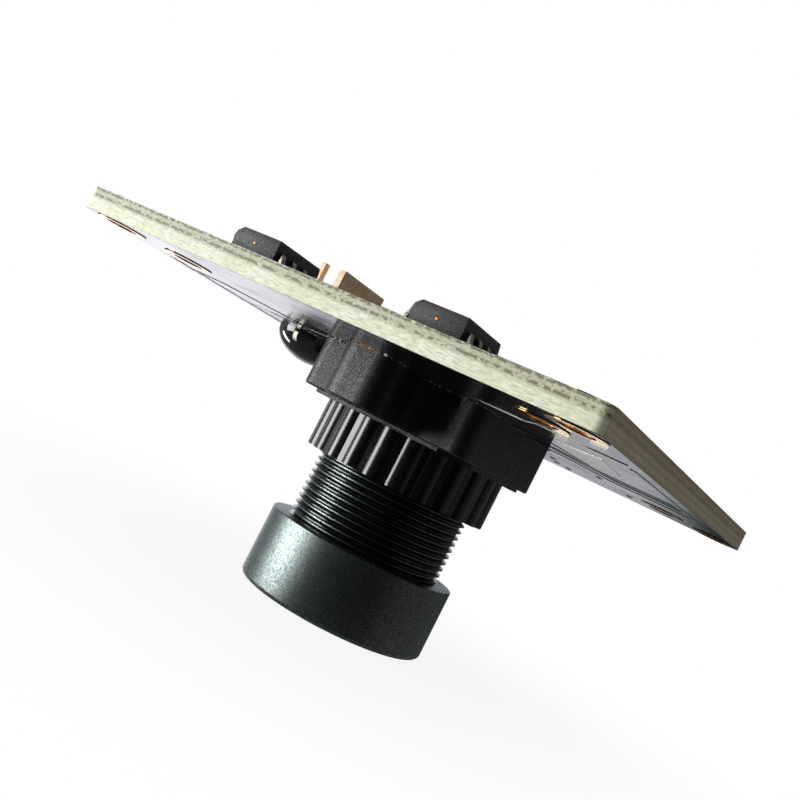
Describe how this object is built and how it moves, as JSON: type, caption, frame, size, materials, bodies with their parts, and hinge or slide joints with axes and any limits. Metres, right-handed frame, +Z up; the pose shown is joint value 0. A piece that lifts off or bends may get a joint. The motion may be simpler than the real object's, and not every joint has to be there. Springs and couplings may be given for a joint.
{
  "type": "camera module",
  "caption": "Square circuit board carrying a threaded miniature lens in a moulded holder with a lock ring, with corner mounting holes and a small cable connector.",
  "frame": {"origin": "middle of the lens barrel's front rim, on which the module stands, on the optical axis and under the middle of the board", "axes": "+Z up the optical axis from the lens front to the back of the board, +X along the board's front edge, +Y away from it towards the connector"},
  "size_m": [0.04, 0.04, 0.0237],
  "materials": {
    "board": "black solder mask over glass-epoxy laminate with pale cut edges",
    "gold": "thin gold plating on copper",
    "holder_moulding": "satin black moulded plastic with fine grain",
    "ring_moulding": "glossy black moulded plastic",
    "barrel_anodised": "black anodised, satin with fine grain",
    "inner_black": "dull black anodised",
    "screw_steel": "bright nickel plating",
    "lens_glass": "polished and coated optical glass",
    "filter_glass": "flat filter glass with a faint tint",
    "cover_glass": "flat clear cover glass",
    "sensor_ceramic": "dark ceramic",
    "silicon": "polished dark silicon",
    "epoxy": "glossy black hardened epoxy",
    "chip_moulding": "dark grey moulding compound",
    "tinned_leads": "dull tin plating",
    "nylon": "natural nylon",
    "crystal_can": "plated metal lid",
    "capacitor_ceramic": "tan ceramic",
    "resistor_body": "black glazed film"
  },
  "bodies": {
    "root": {"circuit_board": "board", "mounting_hole_plating": "gold", "holder_pads": "gold", "lens_holder": "holder_moulding", "holder_screws": "screw_steel", "lock_ring": "ring_moulding", "lens_barrel": "barrel_anodised", "front_retaining_ring": "inner_black", "front_lens": "lens_glass", "front_spacer": "inner_black", "middle_lens": "lens_glass", "stop_spacer": "inner_black", "rear_lens": "lens_glass", "ir_cut_filter": "filter_glass", "sensor_package": "sensor_ceramic", "sensor_die": "silicon", "sensor_cover_glass": "cover_glass", "epoxy_dome": "epoxy", "left_chip": "chip_moulding", "left_chip_leads": "tinned_leads", "right_chip": "chip_moulding", "right_chip_leads": "tinned_leads", "connector_housing": "nylon", "connector_pins": "tinned_leads", "connector_tabs": "tinned_leads", "processor_chip": "chip_moulding", "processor_leads": "tinned_leads", "regulator_chip": "chip_moulding", "regulator_leads": "tinned_leads", "clock_crystal": "crystal_can", "ceramic_capacitors": "capacitor_ceramic", "capacitor_caps": "tinned_leads", "chip_resistors": "resistor_body", "resistor_caps": "tinned_leads", "edge_capacitor": "capacitor_ceramic", "edge_capacitor_caps": "tinned_leads"}
  },
  "joints": []
}
